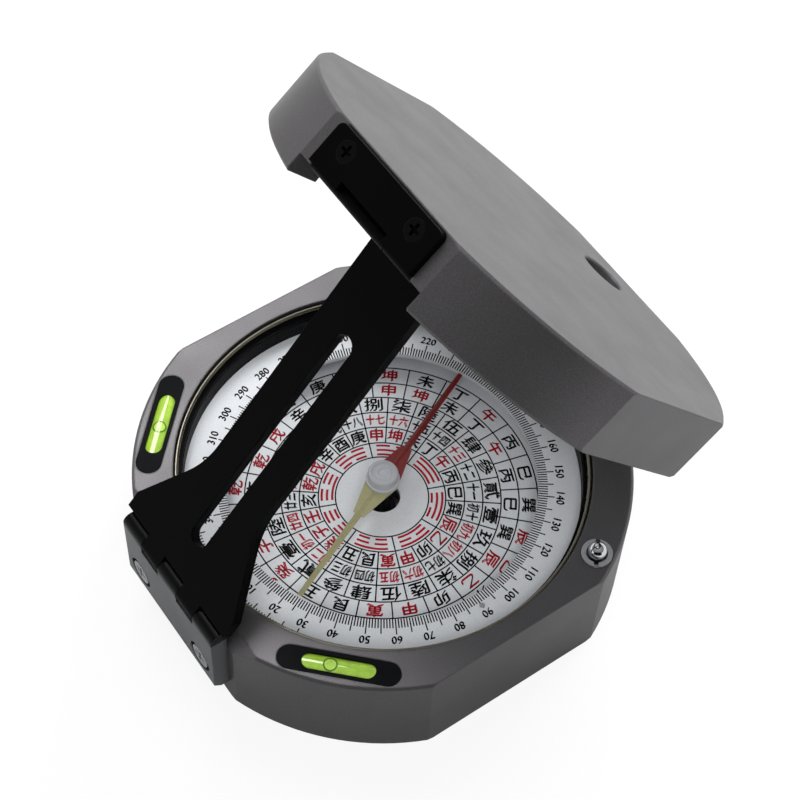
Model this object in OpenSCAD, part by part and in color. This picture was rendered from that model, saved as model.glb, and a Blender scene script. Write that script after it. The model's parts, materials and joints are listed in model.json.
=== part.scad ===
// Pocket feng shui compass with a folding lid, mirror and sights. Millimetres, +Z up.
// The origin is the centre of the base. The long sight hinges at +Y, the lid at -Y.

/* [Case] */
// Radius of the turned case and lid
case_r = 38.7; // [35:0.1:43]
// Depth of the two side flats below the turned radius
side_flat_cut = 3.3; // [2.4:0.1:3.6]
// Depth of the two hinge flats below the turned radius
hinge_flat_cut = 2.5; // [2.2:0.1:3]
// Height of the case
case_h = 18.8; // [18.2:0.1:22]
// Chamfer turned on the round edges
edge_chamfer = 0.4; // [0.2:0.1:0.5]
// Depth, along the top, of the bevel under the long sight's hinge
bevel_back = 1.95; // [1.5:0.05:2.4]
// Height of the bevel under the long sight's hinge
bevel_drop = 2.6; // [1.5:0.1:3]
// Width of the rim round the glass
rim_w = 6.3; // [6.1:0.1:6.9]
// Width of the ledge that carries the graduated ring
ring_ledge = 2.9; // [1.9:0.1:3.5]
// Thickness of the web that carries the dial
web_t = 1.4; // [1:0.1:2]
// Width of the wall round the mechanism space, inside the dial's edge
works_wall = 3.5; // [2.5:0.1:5]
// Width of the case's foot round the base cover
foot_rim = 5.2; // [4.2:0.1:5.6]
// Thickness of the base cover
cover_t = 1.6; // [1.2:0.1:2]

/* [Dial] */
// Depth of the graduated ring's face below the case top
ring_drop = 5.6; // [5.2:0.1:6.5]
// Depth of the dial's face below the graduated ring's face
dial_drop = 4.8; // [4:0.1:5.2]
// Width of the graduated ring's band
ring_w = 8; // [6.4:0.1:8.1]
// Thickness of the graduated ring
ring_t = 0.8; // [0.6:0.1:1.2]
// Thickness of the dial plate
dial_t = 0.8; // [0.5:0.1:1]
// Radius of the hole round the pivot
hub_hole_r = 2.9; // [2.8:0.1:4]

/* [Glass] */
// Height of the glass above the graduated ring's face
glass_gap = 3.3; // [3.2:0.1:3.4]
// Thickness of the glass
glass_t = 1; // [0.8:0.1:1.2]
// Radial width of the spacer under the glass
spacer_w = 1.25; // [1:0.05:1.8]
// Thickness of the gasket under the glass
gasket_t = 0.3; // [0.2:0.1:0.5]
// Diameter of the snap ring's wire over the glass
snap_d = 0.7; // [0.5:0.05:0.9]

/* [Needle] */
// Gap between the needle's tips and the graduated ring
needle_gap = 0.4; // [0.3:0.1:4]
// Half width of the needle at its hub
needle_hub_w = 2.6; // [2.4:0.1:3.2]
// Half width of the needle's lance where it leaves the kite
lance_w = 0.56; // [0.4:0.02:0.8]
// Half width of the needle's blunt tip
tip_w = 0.42; // [0.1:0.02:0.5]
// Thickness of the needle's sheet
needle_t = 0.4; // [0.2:0.05:0.4]
// Dial angle of the north end, counter-clockwise from +Y
needle_angle = 204; // [0:1:360]
// Radius of the needle cap's flange
cap_r = 2.65; // [2.4:0.05:2.8]
// Height of the needle cap
cap_h = 2.4; // [2:0.05:2.4]
// Radius of the pivot post
post_r = 0.8; // [0.6:0.05:0.9]

/* [Needle lock] */
// Dial angle of the lock pin, counter-clockwise from +Y
lock_angle = 119.4; // [116:0.2:124]
// Radius of the lock pin's ball
ball_r = 1.45; // [1.3:0.05:1.5]
// Height of the ball's centre above the case top
ball_rise = 0.9; // [0.6:0.1:1]
// Radius of the lock pin's stem
stem_r = 1; // [0.8:0.05:1.1]
// Radius of the slotted bush
bush_r = 2.4; // [2.3:0.05:2.4]
// Turn of the bush's slot from the line to the dial's centre
bush_turn = -71; // [-90:1:90]
// Travel by which the needle is lifted
lift = 0.5; // [0.3:0.05:0.5]
// Depth of the lever's fulcrum below the web
lever_drop = 2.1; // [1.9:0.1:2.1]
// Distance of the lever's fulcrum from the pivot
fulcrum_x = 6.4; // [6:0.1:8]
// Width of the lift lever
lever_w = 3; // [2.4:0.1:3.4]
// Thickness of the lift lever
lever_t = 0.8; // [0.6:0.05:1]

/* [Vials] */
// Length of a vial holder
holder_l = 18.4; // [16:0.1:18.4]
// Width of a vial holder
holder_w = 3.9; // [3.7:0.05:3.9]
// Depth of a vial holder
holder_h = 4.6; // [4.2:0.1:5.4]
// Radius of the vial
vial_r = 1.5; // [1.2:0.05:1.55]
// Length of the vial's window
window_l = 11; // [8:0.1:11.5]
// Width of the vial's window
window_w = 2.65; // [2:0.05:2.9]
// Depth of the vial below the holder's top
vial_sink = 0.12; // [0.1:0.02:0.6]

/* [Long sight] */
// Angle of the long sight above the glass
sight_open = 49.24; // [46:0.02:52]
// Distance by which the folded long sight stops short of the bore's far side
sight_short = 6.15; // [6:0.05:16]
// Width of the long sight
sight_w = 13.4; // [10:0.1:15]
// Thickness of the long sight
sight_t = 1.8; // [1.2:0.1:1.8]
// Width of the long sight's foot
foot_w = 26.6; // [25:0.1:27.4]
// Distance from the hinge axis to where the foot starts to flare
flare_end = 21; // [19:0.1:26]
// Radius of the bend between arm and flare
flare_r = 15; // [8:0.1:18]
// Angle of the flare to the arm
flare_angle = 27.5; // [24:0.5:34]
// Width of the sighting slot
slot_w = 3.54; // [2:0.02:5]
// Near end of the sighting slot from the hinge axis
slot_near = 7.4; // [6:0.1:12]
// Distance from the sighting slot's far end to the end of the long sight
slot_end = 15.3; // [4:0.1:30]
// Width of the hinge plates
plate_w = 24.84; // [23:0.02:25]
// Thickness of the long sight's hinge plate
plate_t = 2.75; // [2.75:0.05:3.4]
// Reach of the hinge plate below its axis
plate_drop = 14.35; // [12.5:0.05:15]
// Depth of the hinge plate's screws below the case top
plate_screw_drop = 8.9; // [7:0.1:10]
// Bevel along the hinge plate's lower outer edge
plate_bevel = 1.2; // [0.4:0.1:1.6]
// Radius of the long sight's hinge barrel
barrel_r = 1.5; // [1.4:0.05:1.5]
// Radius of the long sight's hinge pin
sight_pin_r = 0.75; // [0.6:0.05:0.8]

/* [Lid] */
// Opening angle of the lid
lid_open = 50.65; // [50:0.05:54]
// Thickness of the lid
lid_t = 10.75; // [10.5:0.05:12]
// Gap between the closed lid and the case
lid_gap = 0.1; // [0.1:0.05:0.4]
// Thickness of the lid's outer plate
lid_floor_t = 2.2; // [1.8:0.1:2.4]
// Width of the lid's rim
lid_rim_w = 6.7; // [6.3:0.1:7.5]
// Thickness of the mirror
mirror_t = 2; // [1.5:0.1:2.2]
// Radius of the sighting window
window_r = 3.7; // [3:0.1:4.2]
// Distance of the sighting window's centre from the lid's rim
window_in = 5.1; // [4.8:0.05:14]
// Chamfer round the sighting window's outer edge
window_chamfer = 0.25; // [0.1:0.05:0.5]
// Distance of the lid's hinge axis from the hinge flat
lid_reach = 6.1; // [5.8:0.1:7]
// Height of the lid's hinge axis above the case top
lid_axis_rise = 0.9; // [0.7:0.05:1.2]
// Depth of the lid hinge's base below the case top
base_drop = 12.2; // [11:0.1:14]
// Depth of the lid hinge's base screws below the case top
base_screw_drop = 8.6; // [7:0.1:9]
// Radius of the lid's hinge barrel
lid_barrel_r = 2.4; // [2:0.1:2.5]
// Radius of the lid's hinge pin
lid_pin_r = 1.1; // [0.9:0.05:1.3]

/* [Short sight] */
// Height of the notch in the lid's free end
notch_h = 2.95; // [2.6:0.05:3.2]
// Width of the short sight's hinge plate
short_plate_w = 22.6; // [20:0.1:23]
// Depth of the short sight's hinge plate in the lid
short_plate_t = 2.1; // [1.4:0.05:2.2]
// Height of the short sight's hinge plate above the lid's end
short_proud = 1.2; // [0.2:0.05:1.5]
// Radius of the short sight's hinge plate corners
short_corner_r = 1; // [0.5:0.1:1.6]
// Length of the short sight from its hinge axis
short_l = 12.5; // [9:0.1:12.8]
// Width of the short sight
short_w = 14; // [12:0.1:15]
// Thickness of the short sight
short_t = 1.1; // [0.9:0.05:1.1]
// Radius of the short sight's hinge pin
short_pin_r = 0.5; // [0.4:0.05:0.6]

/* [Hidden] */
$fn = 96;

// Clearances: seats in one body, running fits, axial gaps and room for what swings
seat = 0.05;
run = 0.05;
axial = 0.1;
swing = 0.3;
over = 1;

// Radii and half widths, from the turned radius inwards
flat_x = case_r - side_flat_cut;
flat_y = case_r - hinge_flat_cut;
bore_r = case_r - rim_w;
dial_seat_r = bore_r - ring_ledge;
works_r = dial_seat_r - works_wall;
cover_r = case_r - foot_rim;
ring_in_r = bore_r - ring_w;
lid_bore_r = case_r - lid_rim_w;
window_y = lid_bore_r - window_in;
rim_mid_r = (case_r + bore_r) / 2;
lock_mid_r = rim_mid_r + 0.2;

// Heights of the case's steps, from the base up
case_top = case_h;
ring_top = case_top - ring_drop;
ring_seat = ring_top - ring_t;
dial_top = ring_top - dial_drop;
dial_seat = dial_top - dial_t;
web_low = dial_seat - web_t;
glass_low = ring_top + glass_gap;
glass_top = glass_low + glass_t;

// Needle and its lock: the lever turns on the fulcrum, so the pin's travel follows the lift
pin_travel = lift * (lock_mid_r - fulcrum_x) / fulcrum_x;
needle_l = ring_in_r - needle_gap;
needle_low = ring_top - needle_t / 2;
cap_low = needle_low + needle_t;
cap_body_r = cap_r - 0.25;
cap_dimple_r = cap_body_r * 0.48;
cap_dimple = 0.3;
jewel_r = post_r + 0.6;
jewel_h = 1.5;
jewel_cup_r = post_r + 0.3;
tip_gap = 0.04;
post_top = cap_low + jewel_cup_r;
post_cone = post_r * 1.6;
post_sink = 0.8;
post_boss_r = post_r + 1.4;
post_boss_gap = 1.5;
fork_w = 5.2;
fork_slot = 2.9;
fork_tip = 0.6;
fulcrum_pin_r = 0.5;
fulcrum_boss_r = 1.1;
fulcrum_z = web_low - lever_drop;
lever_top = fulcrum_z + lever_t;
lever_gap = 0.15;
lug_t = 1.2;
lug_in = lever_w / 2 + swing / 2;
collar_in_r = post_r + run;
collar_r = collar_in_r + 0.45;
collar_flange_r = 2.3;
collar_flange_t = 0.5;
collar_low = lever_top + lever_gap;
collar_top = needle_low - lever_gap;
works_slot_w = lever_w + 1.4;
works_slot_end = lock_mid_r + 2;
works_slot_low = cover_t - 0.1;
lever_end = lock_mid_r + 1.6;
spring_x = lock_mid_r - 7.5;
spring_r = 1.2;
spring_wire = 0.5;
bush_rise = 0.3;
bush_low = case_top + ball_rise - ball_r - pin_travel - 2;
bush_cup_low = case_top + ball_rise - ball_r - pin_travel - 0.15;
bush_cup_r = ball_r + 0.2;
bush_slot = 0.7;
pin_flange_r = stem_r + 0.8;
pin_flange_t = 0.8;
pin_flange_top = bush_low - axial;
pin_flange_low = pin_flange_top - pin_flange_t;

// Vials in the case's rim, at 45 degrees on both sides of the long sight
vial_mid_r = rim_mid_r - 0.15;
vial_axis_z = case_top - vial_r - vial_sink;
vial_l = window_l + 1.6;

// Screws with a cross recess: countersunk, but those of the long sight's plate have cheese heads
screw_r = 1.2;
screw_head_r = 2.4;
plate_screw_head_r = 2;
plate_screw_head_h = 1.3;
plate_screw_gap = 0.6;
screw_l = 5.5;
small_screw_r = 0.8;
small_screw_head_r = 1.6;
small_screw_l = 3.4;
cross_w = 0.5;
cross_depth = 0.7;
plate_screw_x = 8.57;
short_screw_x = 7.6;
cover_screw_r = (works_r + cover_r) / 2 + 0.6;

// Long sight hinge
sight_axis_y = flat_y + plate_t - barrel_r;
sight_axis_z = case_top + barrel_r / 2;
sight_l = sight_axis_y + bore_r - sight_short;
slot_far = sight_l - slot_end;
plate_knuckle = (plate_w - 4 * axial) * 0.21;
arm_knuckle = (plate_w - 4 * axial - 3 * plate_knuckle) / 2;
foot_start = barrel_r + 0.4;
plate_screw_z = case_top - plate_screw_drop;
plate_screw_l = plate_t + screw_l;

// Lid, modelled closed and then opened about its hinge
rim_z = case_top + lid_gap;
lid_top = rim_z + lid_t;
mirror_low = lid_top - lid_floor_t - mirror_t;
lid_axis_y = -flat_y - lid_reach;
lid_axis_z = case_top + lid_axis_rise;
lid_knuckle = plate_w / 2 + 0.1;
base_plate_t = 3;
leaf_t = 2.4;
leaf_low = rim_z + 1.2;
leaf_high = lid_top - 1.2;
base_low = case_top - base_drop;
base_high = case_top - 0.2;
flat_half = sqrt(case_r * case_r - flat_y * flat_y);
leaf_screw_z = (leaf_low + leaf_high) / 2 + 1;
base_screw_z = case_top - base_screw_drop;

// Short sight, folded into the lid
short_barrel_r = short_t;
short_axis_y = flat_y - seat - short_barrel_r - 0.15;
short_axis_z = rim_z + notch_h + 0.6;
short_knuckle = 10;
short_plate_low = short_axis_z + short_barrel_r + swing;
short_plate_high = lid_top - 0.35;
short_pocket_w = short_w + 2 * swing;
short_screw_z = (short_plate_low + short_plate_high) / 2 + 0.3;
short_face_y = flat_y - seat + short_proud;
short_back_y = flat_y - seat - short_plate_t;
short_screw_l = short_face_y - short_back_y + small_screw_l - 1;

// Places a closed-lid shape at the lid's opening angle
module lid_place() {
    translate([0, lid_axis_y, lid_axis_z]) rotate([lid_open, 0, 0])
        translate([0, -lid_axis_y, -lid_axis_z]) children();
}

// Places a folded-down long sight at its raised angle
module sight_place() {
    translate([0, sight_axis_y, sight_axis_z]) rotate([-sight_open, 0, 0])
        translate([0, -sight_axis_y, -sight_axis_z]) children();
}

// Turns a shape drawn along +X towards a dial angle
module towards(angle) {
    rotate([0, 0, angle + 90]) children();
}

// Extrudes a (y, z) outline along X between two positions
module along_x(from, to) {
    translate([from, 0, 0]) rotate([90, 0, 90]) linear_extrude(to - from) children();
}

module ring(outer, inner, low, high) {
    translate([0, 0, low]) difference() {
        cylinder(r = outer, h = high - low);
        translate([0, 0, -over]) cylinder(r = inner, h = high - low + 2 * over);
    }
}

module stadium(length, width) {
    square([length - width, width], center = true);
    for (side = [-1, 1]) translate([side * (length - width) / 2, 0]) circle(d = width);
}

// Turned blank with chamfered round edges and four milled flats
module blank(low, height) {
    intersection() {
        translate([0, 0, low]) rotate_extrude() polygon([[0, 0], [case_r - edge_chamfer, 0],
            [case_r, edge_chamfer], [case_r, height - edge_chamfer],
            [case_r - edge_chamfer, height], [0, height]]);
        translate([-flat_x, -flat_y, low]) cube([2 * flat_x, 2 * flat_y, height]);
    }
}

// Cross in the face of a screw's head
module cross_recess(head_r) {
    for (turn = [0, 90]) rotate([0, 0, turn]) translate([-head_r * 0.6, -cross_w / 2, -cross_depth])
        cube([head_r * 1.2, cross_w, cross_depth + over]);
}

// Countersunk screw along -Z with its head face at the origin
module screw(shank_r, head_r, length) {
    difference() {
        union() {
            translate([0, 0, -length]) cylinder(r = shank_r, h = length);
            translate([0, 0, shank_r - head_r])
                cylinder(r1 = shank_r, r2 = head_r, h = head_r - shank_r);
        }
        cross_recess(head_r);
    }
}

// Hole that seats the same screw
module screw_hole(shank_r, head_r, length) {
    translate([0, 0, -length - seat]) cylinder(r = shank_r + seat, h = length + seat);
    translate([0, 0, shank_r - head_r])
        cylinder(r1 = shank_r + seat, r2 = head_r + seat, h = head_r - shank_r);
    cylinder(r = head_r + seat, h = over);
}

// Screw of the long sight's plate, with its head's face at 0
module plate_screw() {
    difference() {
        union() {
            translate([0, 0, -plate_screw_l]) cylinder(r = screw_r, h = plate_screw_l);
            translate([0, 0, -plate_screw_head_h]) cylinder(r = plate_screw_head_r, h = plate_screw_head_h);
        }
        cross_recess(plate_screw_head_r);
    }
}

// Hole that seats the same screw, with a gap round its head
module plate_screw_hole() {
    translate([0, 0, -plate_screw_l - seat]) cylinder(r = screw_r + seat, h = plate_screw_l + seat);
    translate([0, 0, -plate_screw_head_h])
        cylinder(r = plate_screw_head_r + plate_screw_gap, h = plate_screw_head_h + over);
}

module at_plate_screws() {
    for (side = [-1, 1]) translate([side * plate_screw_x, flat_y + plate_t, plate_screw_z])
        rotate([-90, 0, 0]) children();
}

module at_base_screws() {
    for (side = [-1, 1]) translate([side * plate_screw_x, -flat_y - base_plate_t, base_screw_z])
        rotate([90, 0, 0]) children();
}

module at_leaf_screws() {
    for (side = [-1, 1]) translate([side * plate_screw_x, -flat_y - leaf_t, leaf_screw_z])
        rotate([90, 0, 0]) children();
}

module at_short_screws() {
    for (side = [-1, 1]) translate([side * short_screw_x, short_face_y, short_screw_z])
        rotate([-90, 0, 0]) children();
}

module at_cover_screws() {
    for (turn = [45:90:315]) rotate([0, 0, turn]) translate([cover_screw_r, 0, 0])
        rotate([180, 0, 0]) children();
}

// Vial seats: drawn lying along X at the holder's top centre
module at_vial(angle) {
    towards(angle) translate([vial_mid_r, 0, case_top]) rotate([0, 0, 90]) children();
}

module body_case() {
    color("dimgray") difference() {
        blank(0, case_h);
        translate([0, 0, ring_seat]) cylinder(r = bore_r, h = case_h);
        translate([0, 0, dial_seat]) cylinder(r = dial_seat_r, h = case_h);
        cylinder(r = hub_hole_r + 0.2, h = case_h);
        translate([0, 0, -over]) cylinder(r = works_r, h = web_low + over);
        translate([0, 0, -over]) cylinder(r = cover_r + seat, h = cover_t + over);
        towards(lock_angle) {
            translate([works_r - over, -works_slot_w / 2, works_slot_low])
                cube([works_slot_end - works_r + over, works_slot_w, web_low - works_slot_low]);
            translate([lock_mid_r, 0, works_slot_low]) cylinder(r = stem_r + swing, h = case_h);
            translate([lock_mid_r, 0, bush_low]) cylinder(r = bush_r + seat, h = case_h);
            translate([lock_mid_r, 0, pin_flange_low - pin_travel - swing])
                cylinder(r = pin_flange_r + swing / 2, h = pin_travel + swing + pin_flange_t + 2 * axial);
        }
        for (angle = [45, -45]) at_vial(angle) translate([0, 0, -holder_h - seat])
            linear_extrude(case_h) stadium(holder_l + 2 * seat, holder_w + 2 * seat);
        along_x(-case_r, case_r) polygon([[flat_y - bevel_back, case_top], [flat_y, case_top - bevel_drop],
            [flat_y + over, case_top - bevel_drop], [flat_y + over, case_top + over],
            [flat_y - bevel_back, case_top + over]]);
        at_plate_screws() plate_screw_hole();
        at_base_screws() screw_hole(screw_r, screw_head_r, base_plate_t + screw_l);
        at_cover_screws() screw_hole(small_screw_r, small_screw_head_r, cover_t + small_screw_l);
    }
}

module base_cover() {
    color("dimgray") difference() {
        union() {
            cylinder(r = cover_r, h = cover_t);
            towards(lock_angle) for (side = [-1, 1]) fulcrum_lug(side);
            cylinder(r = post_boss_r, h = fulcrum_z - post_boss_gap);
        }
        translate([0, 0, cover_t - post_sink]) cylinder(r = post_r + seat, h = case_h);
        towards(lock_angle) translate([fulcrum_x, 0, fulcrum_z]) rotate([90, 0, 0])
            cylinder(r = fulcrum_pin_r + seat, h = case_r, center = true);
        towards(lock_angle) translate([fulcrum_x, 0, fulcrum_z]) rotate([90, 0, 0])
            cylinder(r = fulcrum_boss_r + swing, h = 2 * lug_in, center = true);
        at_cover_screws() screw_hole(small_screw_r, small_screw_head_r, cover_t + small_screw_l);
    }
}

// Ear on the base cover that carries the lever's fulcrum pin
module fulcrum_lug(side) {
    translate([fulcrum_x, side * (lug_in + lug_t / 2), 0]) rotate([90, 0, 0])
        linear_extrude(lug_t, center = true) {
            translate([-fulcrum_boss_r, 0]) square([2 * fulcrum_boss_r, fulcrum_z]);
            translate([0, fulcrum_z]) circle(r = fulcrum_boss_r);
        }
}

module cover_screws() {
    color("gray") at_cover_screws() screw(small_screw_r, small_screw_head_r, cover_t + small_screw_l);
}

module dial_plate() {
    color("gainsboro") ring(dial_seat_r - seat, hub_hole_r, dial_seat, dial_top);
}

module graduated_ring() {
    color("whitesmoke") ring(bore_r - seat, ring_in_r, ring_seat, ring_top);
}

module spacer_ring() {
    color("black") ring(bore_r - seat, bore_r - seat - spacer_w, ring_top, glass_low - gasket_t);
}

module glass_gasket() {
    color("black") ring(bore_r - seat, bore_r - seat - spacer_w * 0.9, glass_low - gasket_t, glass_low);
}

module dial_glass() {
    color("azure", 0.3) translate([0, 0, glass_low]) cylinder(r = bore_r - seat, h = glass_t);
}

module snap_ring() {
    color("silver") translate([0, 0, glass_top + snap_d / 2]) rotate_extrude()
        translate([bore_r - seat - snap_d / 2, 0]) circle(d = snap_d);
}

module pivot_post() {
    post_low = cover_t - post_sink;
    color("goldenrod") translate([0, 0, post_low]) {
        cylinder(r = post_r, h = post_top - post_cone - post_low);
        translate([0, 0, post_top - post_cone - post_low]) cylinder(r1 = post_r, r2 = tip_gap, h = post_cone);
    }
}

module fulcrum_pin() {
    color("silver") towards(lock_angle) translate([fulcrum_x, 0, fulcrum_z]) rotate([90, 0, 0])
        cylinder(r = fulcrum_pin_r, h = 2 * (lug_in + lug_t), center = true);
}

module return_spring() {
    color("silver") towards(lock_angle) translate([spring_x, 0, 0])
        ring(spring_r, spring_r - spring_wire, cover_t, lever_top - lever_t - seat);
}

module lock_bush() {
    color("slategray") towards(lock_angle) translate([lock_mid_r, 0, 0]) difference() {
        translate([0, 0, bush_low]) cylinder(r = bush_r, h = case_top + bush_rise - bush_low);
        translate([0, 0, bush_low - over]) cylinder(r = stem_r + run, h = case_h);
        translate([0, 0, bush_cup_low]) cylinder(r = bush_cup_r, h = case_h);
        rotate([0, 0, bush_turn])
            translate([-bush_r - over, -bush_slot / 2, case_top + bush_rise - bush_slot])
            cube([2 * (bush_r + over), bush_slot, bush_slot + over]);
    }
}

module vial_holder(angle) {
    color("black") at_vial(angle) difference() {
        translate([0, 0, -holder_h]) linear_extrude(holder_h) stadium(holder_l, holder_w);
        translate([0, 0, vial_axis_z - case_top]) rotate([0, 90, 0])
            cylinder(r = vial_r + seat, h = vial_l + 2 * seat, center = true);
        translate([-vial_l / 2 - seat, -vial_r - seat, -holder_h - over])
            cube([vial_l + 2 * seat, 2 * (vial_r + seat), vial_axis_z - case_top + holder_h + over]);
        translate([0, 0, vial_axis_z - case_top]) linear_extrude(holder_h) stadium(window_l, window_w);
    }
}

module vial_holder_left() {
    vial_holder(-45);
}

module vial_holder_front() {
    vial_holder(45);
}

module vial(angle) {
    color("yellowgreen") at_vial(angle) {
        translate([0, 0, vial_axis_z - case_top]) rotate([0, 90, 0])
            cylinder(r = vial_r, h = vial_l, center = true);
        translate([-vial_l / 2, -vial_r, -holder_h])
            cube([vial_l, 2 * vial_r, vial_axis_z - case_top + holder_h]);
    }
}

module vial_left() {
    vial(-45);
}

module vial_front() {
    vial(45);
}

// Start of the plate's knuckle number k along X, with the arm's knuckles between them
function plate_knuckle_x(k) = -plate_w / 2 + k * (plate_knuckle + arm_knuckle + 2 * axial);

module sight_hinge_plate() {
    color("dimgray") difference() {
        union() {
            along_x(-plate_w / 2, plate_w / 2) polygon([[flat_y, sight_axis_z - plate_drop],
                [flat_y + plate_t - plate_bevel, sight_axis_z - plate_drop],
                [flat_y + plate_t, sight_axis_z - plate_drop + plate_bevel],
                [flat_y + plate_t, sight_axis_z - barrel_r - swing],
                [flat_y, sight_axis_z - barrel_r - swing]]);
            for (k = [0:2]) along_x(plate_knuckle_x(k), plate_knuckle_x(k) + plate_knuckle) {
                translate([sight_axis_y, sight_axis_z]) circle(r = barrel_r);
                translate([flat_y, sight_axis_z - barrel_r - 2 * swing])
                    square([plate_t, barrel_r + 2 * swing]);
            }
        }
        translate([0, sight_axis_y, sight_axis_z]) rotate([0, 90, 0])
            cylinder(r = sight_pin_r + seat, h = 2 * plate_w, center = true);
        at_plate_screws() plate_screw_hole();
    }
}

module sight_plate_screws() {
    color("black") at_plate_screws() plate_screw();
}

module sight_hinge_pin() {
    color("black") translate([0, sight_axis_y, sight_axis_z]) rotate([0, 90, 0])
        cylinder(r = sight_pin_r, h = plate_w, center = true);
}

// Outline of the arm along +X from the hinge axis: foot, slanted flare, rounded bend and straight arm
module sight_outline() {
    bend = flare_r * tan(flare_angle / 2);
    bend_x = flare_end - bend;
    bend_end = [bend_x - bend * cos(flare_angle), sight_w / 2 + bend * sin(flare_angle)];
    foot_x = bend_x - (foot_w - sight_w) / 2 / tan(flare_angle);
    difference() {
        union() {
            polygon([[foot_start, -foot_w / 2], [foot_x, -foot_w / 2], [bend_x, -sight_w / 2],
                [sight_l, -sight_w / 2], [sight_l, sight_w / 2], [bend_x, sight_w / 2],
                [foot_x, foot_w / 2], [foot_start, foot_w / 2]]);
            for (side = [0, 1]) mirror([0, side]) difference() {
                polygon([bend_end, [bend_x, sight_w / 2 - over], [flare_end, sight_w / 2]]);
                translate([flare_end, sight_w / 2 + flare_r]) circle(r = flare_r);
            }
        }
        translate([(slot_near + slot_far) / 2, 0]) stadium(slot_far - slot_near, slot_w);
    }
}

module long_sight() {
    color("black") sight_place() difference() {
        union() {
            translate([0, sight_axis_y, sight_axis_z + barrel_r - sight_t]) rotate([0, 0, -90])
                linear_extrude(sight_t) sight_outline();
            for (k = [0:1]) {
                from = plate_knuckle_x(k) + plate_knuckle + axial;
                along_x(from, from + arm_knuckle) {
                    translate([sight_axis_y, sight_axis_z]) circle(r = barrel_r);
                    translate([sight_axis_y - foot_start - over, sight_axis_z + barrel_r - sight_t])
                        square([foot_start + over, sight_t]);
                }
            }
        }
        translate([0, sight_axis_y, sight_axis_z]) rotate([0, 90, 0])
            cylinder(r = sight_pin_r + run, h = 2 * plate_w, center = true);
    }
}

// Base half of the lid hinge: a plate on the case with an ear at each side
module lid_hinge_base() {
    color("dimgray") difference() {
        union() {
            translate([-plate_w / 2, -flat_y - base_plate_t, base_low])
                cube([plate_w, base_plate_t, base_high - base_low]);
            for (side = [-1, 1]) along_x(side < 0 ? -plate_w / 2 : lid_knuckle / 2 + axial,
                side < 0 ? -lid_knuckle / 2 - axial : plate_w / 2) {
                translate([lid_axis_y, lid_axis_z]) circle(r = lid_barrel_r);
                polygon([[-flat_y, base_low], [lid_axis_y - lid_barrel_r, lid_axis_z],
                    [lid_axis_y + lid_barrel_r, lid_axis_z], [-flat_y, base_high]]);
            }
        }
        translate([0, lid_axis_y, lid_axis_z]) rotate([0, 90, 0])
            cylinder(r = lid_pin_r + seat, h = 2 * plate_w, center = true);
        at_base_screws() screw_hole(screw_r, screw_head_r, base_plate_t + screw_l);
        at_base_screws() cylinder(r = screw_head_r + seat, h = lid_reach + lid_barrel_r);
    }
}

module lid_base_screws() {
    color("black") at_base_screws() screw(screw_r, screw_head_r, base_plate_t + screw_l);
}

module lid_hinge_pin() {
    color("black") translate([0, lid_axis_y, lid_axis_z]) rotate([0, 90, 0])
        cylinder(r = lid_pin_r, h = plate_w, center = true);
}

// Face of the short sight's hinge plate with rounded upper corners, made larger all round for its pocket
module short_plate_outline(low, grow = 0) {
    half = short_plate_w / 2 + grow;
    corner_x = half - short_corner_r;
    corner_z = short_plate_high + grow - short_corner_r;
    translate([-half, low]) square([2 * half, corner_z - low]);
    translate([-corner_x, low]) square([2 * corner_x, corner_z + short_corner_r - low]);
    for (side = [-1, 1]) translate([side * corner_x, corner_z]) circle(r = short_corner_r);
}

module lid_shell() {
    color("gray") lid_place() difference() {
        blank(rim_z, lid_t);
        translate([0, 0, rim_z - over]) cylinder(r = lid_bore_r, h = lid_t - lid_floor_t + over);
        translate([0, -window_y, rim_z]) cylinder(r = window_r, h = 2 * lid_t);
        translate([0, -window_y, lid_top - window_chamfer])
            cylinder(r1 = window_r, r2 = window_r + 2 * window_chamfer, h = 2 * window_chamfer);
        translate([-flat_half, lid_bore_r * 0.8, rim_z - over]) cube([2 * flat_half, case_r, notch_h + over]);
        translate([0, case_r + over, 0]) rotate([90, 0, 0])
            linear_extrude(case_r + over - short_back_y + seat) short_plate_outline(rim_z, seat);
        translate([-short_plate_w / 2 - seat, short_axis_y - short_barrel_r - swing, rim_z - over])
            cube([short_plate_w + 2 * seat, case_r, short_plate_low - rim_z + over]);
        translate([-short_pocket_w / 2, lid_bore_r * 0.8, rim_z - over])
            cube([short_pocket_w, case_r, short_plate_low - rim_z + over]);
        at_leaf_screws() screw_hole(screw_r, screw_head_r, leaf_t + small_screw_l);
        at_short_screws() screw_hole(small_screw_r, small_screw_head_r, short_screw_l);
    }
}

module lid_mirror() {
    color("lightsteelblue") lid_place() difference() {
        translate([0, 0, mirror_low]) cylinder(r = lid_bore_r - seat, h = mirror_t);
        translate([0, -window_y, rim_z]) cylinder(r = window_r, h = 2 * lid_t);
    }
}

// Lid half of the lid hinge: a plate on the lid with one wide knuckle
module lid_hinge_leaf() {
    color("dimgray") lid_place() difference() {
        union() {
            translate([-plate_w / 2, -flat_y - leaf_t, leaf_low])
                cube([plate_w, leaf_t, leaf_high - leaf_low]);
            along_x(-lid_knuckle / 2, lid_knuckle / 2) {
                translate([lid_axis_y, lid_axis_z]) circle(r = lid_barrel_r);
                polygon([[lid_axis_y + lid_barrel_r * cos(20), lid_axis_z - lid_barrel_r * sin(20)],
                    [-flat_y, leaf_low], [-flat_y - leaf_t, leaf_high],
                    [lid_axis_y - lid_barrel_r * cos(20), lid_axis_z + lid_barrel_r * sin(20)]]);
            }
        }
        translate([0, lid_axis_y, lid_axis_z]) rotate([0, 90, 0])
            cylinder(r = lid_pin_r + run, h = 2 * plate_w, center = true);
        at_leaf_screws() screw_hole(screw_r, screw_head_r, leaf_t + small_screw_l);
        at_leaf_screws() cylinder(r = screw_head_r + seat, h = lid_reach);
    }
}

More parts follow.
